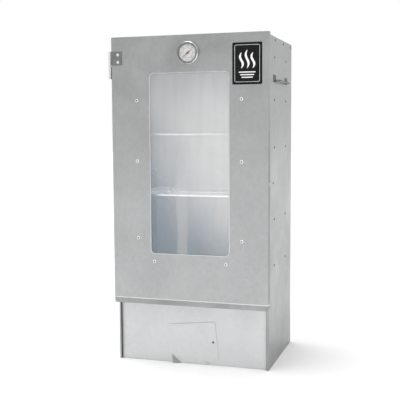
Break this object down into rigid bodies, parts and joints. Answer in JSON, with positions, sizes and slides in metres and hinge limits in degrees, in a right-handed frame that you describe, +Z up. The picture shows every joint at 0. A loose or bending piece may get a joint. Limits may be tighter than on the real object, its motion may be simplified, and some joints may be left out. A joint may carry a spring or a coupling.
{
  "type": "electric cabinet smoker",
  "caption": "Upright electric smoker cabinet in riveted zinc-coated sheet, with a windowed hinged door, wire racks on lugged rails, a heater with chip tray and a swinging access flap.",
  "frame": {"origin": "centre of the carcass's footprint, on the face that it stands on", "axes": "+Z up, -Y towards the user (door side), +X to the right seen from the front"},
  "size_m": [0.514, 0.396, 1.0084],
  "materials": {
    "galvanised_steel": "satin zinc-coated sheet",
    "zinc_hinge": "dull zinc plating",
    "rivet_aluminium": "bright domed blind rivets",
    "handle_steel": "plain steel bar",
    "magnet": "dark sintered magnet block",
    "heater_enamel": "dark heat-proof enamel",
    "heater_iron": "rough cast hotplate",
    "conduit_steel": "bright conduit",
    "tray_steel": "smoke-stained sheet",
    "black_plastic": "black moulded plastic",
    "thermostat_body": "cream moulded body",
    "contact_brass": "contact blades",
    "small_screws": "plated screws",
    "window_glass": "clear heat-proof pane",
    "seal_rubber": "soft sealing strip",
    "badge_black": null,
    "chrome": "polished rim",
    "thermometer_steel": "plain steel case and stem",
    "dial_white": "white printed dial",
    "lens_glass": "clear lens",
    "pointer_black": "black pointer",
    "rack_wire": "plated wire"
  },
  "bodies": {
    "cabinet": {"left_side_panel": "galvanised_steel", "right_side_panel": "galvanised_steel", "back_panel": "galvanised_steel", "top_panel": "galvanised_steel", "bottom_plate": "galvanised_steel", "chamber_floor": "galvanised_steel", "base_front_panel": "galvanised_steel", "rack_rail_right_front": "galvanised_steel", "rack_rail_left_front": "galvanised_steel", "rack_rail_right_rear": "galvanised_steel", "rack_rail_left_rear": "galvanised_steel", "catch_bracket": "galvanised_steel", "hinge_pin": "galvanised_steel", "vent_screw": "galvanised_steel", "vent_nut": "galvanised_steel", "heater_stand": "galvanised_steel", "terminal_cover": "galvanised_steel", "side_rivets_left": "rivet_aluminium", "side_rivets_right": "rivet_aluminium", "flap_pivot_rivet": "rivet_aluminium", "hinge_frame_leaf": "zinc_hinge", "hinge_frame_screws": "zinc_hinge", "carry_handle_right": "handle_steel", "carry_handle_left": "handle_steel", "catch_magnet": "magnet", "heater_housing": "heater_enamel", "heater_plate": "heater_iron", "heater_conduit": "conduit_steel", "drip_pan": "tray_steel", "power_inlet": "black_plastic", "switch_frame": "black_plastic", "thermostat": "thermostat_body", "inlet_pins": "contact_brass", "inlet_screws": "small_screws"},
    "door": {"door_skin": "galvanised_steel", "door_bottom_channel": "galvanised_steel", "glass_channel_left": "galvanised_steel", "glass_channel_right": "galvanised_steel", "glass_channel_bottom": "galvanised_steel", "strike_plate": "galvanised_steel", "door_rivets": "rivet_aluminium", "window_glass": "window_glass", "door_seal": "seal_rubber", "badge_plate": "badge_black", "hinge_door_leaf": "zinc_hinge", "hinge_door_screws": "zinc_hinge", "thermometer_bezel": "chrome", "thermometer_case": "thermometer_steel", "thermometer_stem": "thermometer_steel", "thermometer_nut": "thermometer_steel", "thermometer_dial": "dial_white", "thermometer_lens": "lens_glass"},
    "thermometer_needle": {"thermometer_pointer": "pointer_black"},
    "vent_cover": {"vent_damper": "galvanised_steel"},
    "flap": {"access_flap": "galvanised_steel"},
    "upper_rack": {"rack_upper": "rack_wire"},
    "lower_rack": {"rack_lower": "rack_wire"},
    "chip_drawer": {"chip_tray": "tray_steel"},
    "temperature_knob": {"thermostat_knob": "black_plastic"},
    "power_rocker": {"switch_rocker": "black_plastic"}
  },
  "joints": [
    {"name": "door_hinge", "type": "hinge", "parent": "cabinet", "child": "door", "pos_m": [-0.25, -0.196, 0.916], "axis": [0, 0, -1], "range_deg": [0, 180]},
    {"name": "needle_turn", "type": "hinge", "parent": "door", "child": "thermometer_needle", "pos_m": [0.002, -0.2018, 0.946], "axis": [0, 1, 0], "range_deg": [-6, 264]},
    {"name": "vent_turn", "type": "hinge", "parent": "cabinet", "child": "vent_cover", "pos_m": [0, 0.06, 0.996], "axis": [0, 0, 1], "range_deg": [0, 45]},
    {"name": "flap_swing", "type": "hinge", "parent": "cabinet", "child": "flap", "pos_m": [0.065, -0.163, 0.0717], "axis": [0, 1, 0], "range_deg": [0, 28]},
    {"name": "upper_rack_slide", "type": "slide", "parent": "cabinet", "child": "upper_rack", "axis": [0, -1, 0], "range_m": [0, 0.015]},
    {"name": "lower_rack_slide", "type": "slide", "parent": "cabinet", "child": "lower_rack", "axis": [0, -1, 0], "range_m": [0, 0.015]},
    {"name": "chip_tray_slide", "type": "slide", "parent": "cabinet", "child": "chip_drawer", "axis": [0, -1, 0], "range_m": [0, 0.012]},
    {"name": "thermostat_turn", "type": "hinge", "parent": "cabinet", "child": "temperature_knob", "pos_m": [0.066, 0.175, 0.1], "axis": [0, -1, 0], "range_deg": [0, 270]},
    {"name": "switch_rock", "type": "hinge", "parent": "cabinet", "child": "power_rocker", "pos_m": [0.002, 0.171, 0.1], "axis": [1, 0, 0], "range_deg": [0, 14]}
  ]
}
